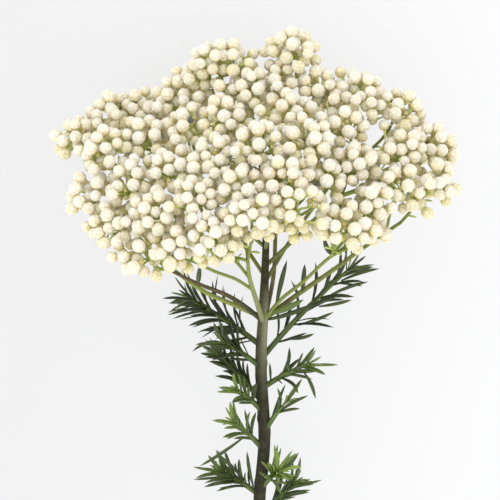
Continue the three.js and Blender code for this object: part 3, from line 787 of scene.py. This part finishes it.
def make_stem():
    """The main stem and its leader, with low ridges and a scar where each leaf was. Its lower end is cut
    on the slant."""
    start = (STEM_LINE[0][0], BELOW_CUT, STEM_LINE[0][2])
    leader = [tuple(from_crown(at)) for at in BRANCHES[0][-1][1:]]
    line = rounded([start] + STEM_LINE + leader, STEM_STEPS)
    run = line[:, 1]
    joints = [at[1] for at in STEM_LINE + leader]
    radii = np.interp(run, joints, STEM_RADII + LEADER_RADII)
    bm = new_mesh("wood", "bloom")
    rings, places = add_limb(bm, line, radii, STEM_SIDES, wood=np.interp(run, *STEM_WOOD),
                             bloom=np.interp(run, *STEM_BLOOM))
    layer = bm.verts.layers.float["bloom"]
    scars = [(FIRST_SCAR + SCAR_SPACING * i, i * GOLDEN_ANGLE) for i in range(SCARS)]
    for ring, place, radius, along in zip(rings, places, radii, run):
        near = [(at, azimuth) for at, azimuth in scars if abs(at - along) < 3 * SCAR_LENGTH]
        for vert in ring:
            x, y, _ = place.inverted() @ vert.co
            angle = math.atan2(y, x)
            lift = radius * RIDGE_HEIGHT * math.cos(RIDGES * (angle - RIDGE_TWIST * along))
            for at, azimuth in near:
                apart = radius * math.remainder(angle - azimuth, 2 * math.pi)
                away = ((along - at) / SCAR_LENGTH) ** 2 + (apart / SCAR_WIDTH) ** 2
                lift += SCAR_HEIGHT * math.exp(-away)
            level = place @ Vector((x, y, 0))
            vert.co = level + (level - place.translation) * lift / radius
            vert[layer] *= THIN_SIDE_BLOOM + (1 - THIN_SIDE_BLOOM) * max(0, math.cos(angle))
    slant = Vector((0, -2 * STEM_RADII[0], CUT_LENGTH)).normalized()
    parts = list(bm.verts) + list(bm.edges) + list(bm.faces)
    cut = bmesh.ops.bisect_plane(bm, geom=parts, plane_co=(0, 0, -STEM_RADII[0]), plane_no=slant,
                                 clear_outer=True)["geom_cut"]
    rim = [part for part in cut if isinstance(part, bmesh.types.BMEdge)]
    face = bmesh.ops.contextual_create(bm, geom=rim)["faces"][0]
    # The bark's rim is left round the sapwood, and the sapwood round the pith
    bmesh.ops.inset_individual(bm, faces=[face], thickness=BARK_THICKNESS)
    face.material_index = 1
    bmesh.ops.inset_individual(bm, faces=[face], thickness=STEM_RADII[0] - BARK_THICKNESS - PITH_RADIUS,
                               depth=-PITH_DEPTH)
    face.material_index = 2
    finished(bm, "stem_bark", "bark", [bark, sapwood, pith], "main_stem")


def make_branches(twigs):
    bm = new_mesh("wood", "bloom")
    for radii, wood, bloom, line in BRANCHES[1:]:
        line = rounded([from_crown(at) for at in line], BRANCH_STEPS)
        add_limb(bm, line, tapered(radii, line), BRANCH_SIDES, bloom=tapered((bloom, 0), line),
                 wood=tapered((wood, BRANCH_WOOD_LEFT * wood), line))
    for twig in twigs:
        line = bezier(twig, TWIG_STEPS)
        add_limb(bm, line, tapered(TWIG_RADII, line), TWIG_SIDES, bloom=tapered((0, 0), line),
                 wood=tapered((TWIG_WOOD, 0), line))
    finished(bm, "branches", "bark", [bark], "main_stem")


# The leaves

# Two numbers are a start and a span, unless something else is said
LONG_LEAF_SEED = 3
THIN_LEAF_SEED = 4
TWIG_LEAF_SEED = 5
LEAF_SIDES = 6
LEAF_FLATNESS = 0.42
LEAF_SHARES = [0, 0.15, 0.45, 0.7, 0.9, 1]  # of its length
LEAF_WIDTHS = [0.4, 0.65, 1, 0.95, 0.6, 0.2]  # at those shares, of its full width
LEAF_SLIMNESS = 0.85  # of the room that a leaf takes up
LEAF_TRIES = 8
LEAF_TURN = 0.8  # radians round the stalk, from one try to the next
LEAF_FRONTING = 0.4  # how much its flat side faces the front, to 1 for the stalk's tip
LONG_LEAF_HALF_WIDTH = 0.8
LONG_LEAF_PLACES = (0.3, 0.68)  # of the shoot's length
LONG_LEAF_CROWDING = 0.8  # below 1, so that they stand closer towards the tip
LONG_LEAF_SPREAD = (0.85, -0.4)  # of the shoot's spread: at its foot, and the change up to its tip
LONG_LEAF_ARCH = 0.17  # radians outwards at each third
LONG_LEAF_LENGTH = (0.85, 0.3)  # of the shoot's leaf length
TIP_SHORTENING = 0.25
LONGEST_LEAF_YOUTH = 0.15
THIN_LEAF_HALF_WIDTH = 0.6
THIN_LEAF_PLACES = (0.1, 0.88)
THIN_LEAF_OFFSET = 2  # radians round the shoot, from the long leaves' spiral
THIN_LEAF_SPREAD = (0.5, 0.35)
THIN_LEAF_ARCH = 0.3
THIN_LEAF_LENGTH = (0.6, 0.45)
THIN_LEAF_GAP = 0.05
TUFT_LEAVES = 6
TUFT_LEAF_HALF_WIDTH = 0.45
TUFT_LEAF_SPREAD = (0.25, 0.12)  # the first's, and how much wider each next one's is
TUFT_LEAF_ARCH = (0.1, 0.15)
TUFT_LEAF_LENGTH = (0.35, 0.3)
TUFT_YOUTH = 0.3  # the least
TWIG_LEAVES = 7
TWIG_LEAF_HALF_WIDTH = 0.45
TWIG_LEAF_PLACES = (0.25, 0.7)
TWIG_LEAF_ANGLE = (0.5, 0.4)  # radians from the twig
TWIG_LEAF_ARCH = 0.15
TWIG_LEAF_LENGTH = (2.5, 2.5)
TWIG_LEAF_AGE = 0.4  # the most
TWIGS_IN_A_MESH = 12
SHOOT_SIDES = 6
SHOOT_STEPS = 8
SHOOT_BEND = (0.4, 0.5, 0.4)  # of the way to its tip: across, along and out
SHOOT_YOUTH = (0.15, 0.5)  # at its foot and at its tip


def add_leaf(bm, line, half_width, facing, name, mark):
    """A narrow leaf, widest at its middle, with a blunt tip. The named vertex layer gets the mark."""
    line = rounded(line, 2)
    shares = np.linspace(0, 1, len(line))
    widths = half_width * np.interp(shares, LEAF_SHARES, LEAF_WIDTHS)
    marks = {name: np.full(len(line), mark)}
    add_limb(bm, line, widths, LEAF_SIDES, LEAF_FLATNESS, facing, pointed=True, **marks)


def leaf_line(foot, axis, outwards, angle, arch, length):
    """A leaf springs from its foot at an angle to the axis, and bends outwards at each third"""
    line = [foot]
    for third in range(3):
        lean = angle + arch * third
        line.append(line[-1] + (math.cos(lean) * axis + math.sin(lean) * outwards) * length / 3)
    return line


class Stalk:
    """A curved stalk that leaves spring from"""
    STEPS = 1000

    def __init__(self, controls):
        self.stations = bezier(controls, self.STEPS)

    def frame(self, along):
        """The point at a share of its length, its way ahead, and two directions square to it"""
        i = min(round(along * self.STEPS), self.STEPS - 1)
        ahead = unit(self.stations[i + 1] - self.stations[i])
        side = unit(np.cross(ahead, FRONT))
        return self.stations[i], ahead, side, np.cross(side, ahead)


def spring_leaf(bm, owner, stalk, along, azimuth, angle, arch, length, half_width, name, mark, margin):
    """Grows a leaf where there is room for it, turned a little further round at each try. Its flat side
    faces the stalk's tip and a little to the front."""
    foot, ahead, side, rise = stalk.frame(along)
    for turn in range(LEAF_TRIES):
        heading = azimuth + turn * LEAF_TURN
        outwards = math.cos(heading) * side + math.sin(heading) * rise
        line = leaf_line(foot, ahead, outwards, angle, arch, length)
        spread = np.concatenate([np.linspace(line[j], line[j + 1], 4) for j in range(3)])
        if all(height(at) > half_width for at in line) and is_free(owner, spread, half_width + margin):
            occupy(owner, line, [half_width] * 4)
            add_leaf(bm, line, LEAF_SLIMNESS * half_width, ahead + LEAF_FRONTING * FRONT, name, mark)
            return


def single_leaf(controls):
    return bezier([from_crown(at) for at in controls], 3)


def make_single_leaves():
    bm = new_mesh("youth")
    for *controls, half_width, youth in SINGLE_LEAVES:
        add_leaf(bm, single_leaf(controls), half_width, FRONT, "youth", youth)
    finished(bm, "single_leaves", "leaves", [leaf], "main_stem")


def make_twig_leaves(twigs):
    """Small pale leaves along the twigs of the head, some twigs to a mesh"""
    draw = seeded(TWIG_LEAF_SEED)
    for first in range(0, len(twigs), TWIGS_IN_A_MESH):
        bm = new_mesh("age")
        for twig in twigs[first:first + TWIGS_IN_A_MESH]:
            stalk = Stalk(twig)
            offset = 2 * math.pi * draw()
            for i in range(TWIG_LEAVES):
                along = TWIG_LEAF_PLACES[0] + TWIG_LEAF_PLACES[1] * i / (TWIG_LEAVES - 1)
                angle = pick(draw, *TWIG_LEAF_ANGLE)
                length = pick(draw, *TWIG_LEAF_LENGTH)
                spring_leaf(bm, STEM_OWNER, stalk, along, offset + i * GOLDEN_ANGLE, angle,
                            TWIG_LEAF_ARCH, length, TWIG_LEAF_HALF_WIDTH, "age",
                            TWIG_LEAF_AGE * draw(), 0.0)
        number = first // TWIGS_IN_A_MESH + 1
        finished(bm, f"twig_leaves_{number}", "leaves", [stalk_green], "main_stem")


def stem_at(along):
    """Where the stem's axis is at a distance from the cut end"""
    line = np.array(STEM_LINE, float)
    return np.array([np.interp(along, line[:, 1], line[:, i]) for i in range(3)])


def shoot_controls(below, tip):
    """A shoot's line starts at the stem's axis, and bends a little outwards"""
    start = stem_at(CROWN - below)
    end = from_crown(tip)
    return [start, start + (end - start) * SHOOT_BEND, end]


def grow_shoots():
    """Each shoot has its long leaves on a golden spiral, then younger and thinner ones among them, and a
    tuft at its tip"""
    draw = seeded(LONG_LEAF_SEED)
    meshes = []
    for number, (below, tip, leaves, leaf_length, spread, _, youth) in enumerate(SHOOTS):
        controls = shoot_controls(below, tip)
        stalk = Stalk(controls)
        bm = new_mesh("youth")
        line = bezier(controls, SHOOT_STEPS)
        radii = np.interp(tapered((0, 3), line), range(4), SHOOT_RADII)
        add_limb(bm, line, radii, SHOOT_SIDES, youth=tapered(SHOOT_YOUTH, line))
        offset = draw() * 2 * math.pi
        for i in range(leaves):
            along = LONG_LEAF_PLACES[0] + LONG_LEAF_PLACES[1] * (i / (leaves - 1)) ** LONG_LEAF_CROWDING
            length = leaf_length * pick(draw, *LONG_LEAF_LENGTH) * (1 - TIP_SHORTENING * along ** 3)
            angle = spread * (LONG_LEAF_SPREAD[0] + LONG_LEAF_SPREAD[1] * along)
            spring_leaf(bm, FIRST_SHOOT_OWNER + number, stalk, along, offset + i * GOLDEN_ANGLE, angle,
                        LONG_LEAF_ARCH, length, LONG_LEAF_HALF_WIDTH, "youth", youth * along ** 2, GAP)
        meshes.append((bm, stalk, offset))
    for number, *controls in LONGEST_LEAVES:
        line = single_leaf(controls)
        occupy(FIRST_SHOOT_OWNER + number - 1, line, [THIN_LEAF_HALF_WIDTH] * 4)
        add_leaf(meshes[number - 1][0], line, THIN_LEAF_HALF_WIDTH, FRONT, "youth", LONGEST_LEAF_YOUTH)
    draw = seeded(THIN_LEAF_SEED)
    for number, (bm, stalk, offset) in enumerate(meshes):
        _, _, leaves, leaf_length, spread, thin_leaves, youth = SHOOTS[number]
        owner = FIRST_SHOOT_OWNER + number
        for i in range(thin_leaves):
            along = THIN_LEAF_PLACES[0] + THIN_LEAF_PLACES[1] * (i + draw()) / thin_leaves
            length = leaf_length * pick(draw, *THIN_LEAF_LENGTH)
            angle = spread * pick(draw, *THIN_LEAF_SPREAD)
            arch = THIN_LEAF_ARCH * (draw() - 0.2)
            azimuth = offset + THIN_LEAF_OFFSET + i * GOLDEN_ANGLE
            spring_leaf(bm, owner, stalk, along, azimuth, angle, arch, length, THIN_LEAF_HALF_WIDTH,
                        "youth", youth * along, THIN_LEAF_GAP)
        for i in range(min(TUFT_LEAVES, leaves)):
            arch = pick(draw, *TUFT_LEAF_ARCH)
            length = leaf_length * pick(draw, *TUFT_LEAF_LENGTH)
            angle = spread * (TUFT_LEAF_SPREAD[0] + TUFT_LEAF_SPREAD[1] * i)
            spring_leaf(bm, owner, stalk, 1, offset + i * GOLDEN_ANGLE, angle, arch, length,
                        TUFT_LEAF_HALF_WIDTH, "youth", TUFT_YOUTH + (1 - TUFT_YOUTH) * youth, 0.0)
    for number, (bm, _, _) in enumerate(meshes):
        finished(bm, f"shoot_{number + 1:02}", "leaves", [leaf], f"leafy_shoot_{number + 1:02}")


sprays = [Spray(middle) for middle in SPRAYS]
twigs = [twig_curve(spray) for spray in sprays]
occupy(STEM_OWNER, STEM_LINE, STEM_RADII)
for radii, *_, line in BRANCHES:
    occupy(STEM_OWNER, [from_crown(at) for at in line], tapered(radii, line))
for twig in twigs:
    occupy(STEM_OWNER, bezier(twig, 2), [TWIG_RADII[0]] * 3)
for owner, spray in enumerate(sprays):
    occupy(owner, [spray.root, spray.hub], [TWIG_RADII[0], HUB_RADIUS])
for far, near, radius in OPENINGS:
    occupy(OPENING_OWNER, [from_crown(far), from_crown(near)], [radius, radius])

buds = grow_buds(sprays)
for owner, spray in enumerate(sprays):
    own = buds.owners == owner
    make_spray(owner + 1, spray, list(zip(buds.places[own], buds.radii[own])))
for owner, at, radius in zip(buds.owners, buds.places, buds.radii):
    occupy(owner, [at, at], [radius, radius])

make_stem()
make_branches(twigs)
make_single_leaves()
make_twig_leaves(twigs)
for *controls, half_width, _ in SINGLE_LEAVES:
    occupy(STEM_OWNER, single_leaf(controls), [half_width] * 4)
for number, (below, tip, *_) in enumerate(SHOOTS):
    occupy(FIRST_SHOOT_OWNER + number, bezier(shoot_controls(below, tip), 3), SHOOT_RADII)
grow_shoots()


# The stage

def growth_way(x, y, z):
    return (GROWTH.to_3x3() @ Vector((x, y, z))).normalized()


def make_camera():
    camera = bpy.data.objects.new("camera", bpy.data.cameras.new("camera"))
    camera.data.lens = CAMERA_LENS
    camera.data.sensor_width = 36.0
    camera.data.clip_end = 10.0
    towards = growth_way(0, math.sin(VIEW_ELEVATION), math.cos(VIEW_ELEVATION))
    up = growth_way(0, math.cos(VIEW_ELEVATION), -math.sin(VIEW_ELEVATION))
    right = up.cross(towards)
    turned = Matrix((right, up, towards)).transposed().to_4x4()
    crown = GROWTH @ Vector((0, CROWN, 0))
    eye = crown + MM * (VIEW_ACROSS * right + VIEW_UP * up + VIEW_DISTANCE * towards)
    camera.matrix_world = Matrix.Translation(eye) @ turned
    bpy.context.scene.collection.objects.link(camera)
    bpy.context.scene.camera = camera
    return crown, right, up, towards


def add_softbox(name, at, aim, size, power, colour):
    light = bpy.data.objects.new(name, bpy.data.lights.new(name, "AREA"))
    light.data.size = size
    light.data.energy = power
    light.data.color = linear(colour)[:3]
    turned = (at - aim).to_track_quat("Z", "Y").to_matrix().to_4x4()
    light.matrix_world = Matrix.Translation(at) @ turned
    bpy.context.scene.collection.objects.link(light)


def pale_floor():
    """A smooth matt frosted board, lit through from below, a little more on the right"""
    material, tree, shader = new_material("pale_floor")
    place = add_node(tree, "ShaderNodeTexCoord").outputs["Object"]
    across = add_node(tree, "ShaderNodeSeparateXYZ", {"Vector": place}).outputs["X"]
    glow = add_node(tree, "ShaderNodeMapRange", {
        "Value": across, "From Min": -70 * MM, "From Max": 70 * MM, "To Min": FLOOR_GLOW[0],
        "To Max": FLOOR_GLOW[1]})
    feed(tree, shader, {
        "Base Color": "#686868", "Roughness": 0.9, "Specular IOR Level": 0.1,
        "Emission Color": "#FEFEFF", "Emission Strength": glow.outputs[0]})
    return material


def make_stage():
    crown, right, up, towards = make_camera()
    bm = bmesh.new()
    bmesh.ops.create_grid(bm, x_segments=1, y_segments=1, size=FLOOR_HALF_WIDTH)
    mesh = bpy.data.meshes.new("floor")
    bm.to_mesh(mesh)
    bm.free()
    mesh.materials.append(pale_floor())
    floor = bpy.data.objects.new("floor", mesh)
    bpy.context.scene.collection.objects.link(floor)
    key_place = crown + KEY_PLACE[0] * right + KEY_PLACE[1] * up + KEY_PLACE[2] * towards
    add_softbox("key", key_place, crown, KEY_SIZE, KEY_POWER, "#FFFFFF")
    world = bpy.data.worlds.new("studio")
    world.use_nodes = True
    feed(world.node_tree, world.node_tree.nodes["Background"], {
        "Color": "#FFFFFF", "Strength": SKY_STRENGTH})
    bpy.context.scene.world = world
    bpy.context.scene.view_settings.view_transform = "Standard"


make_stage()
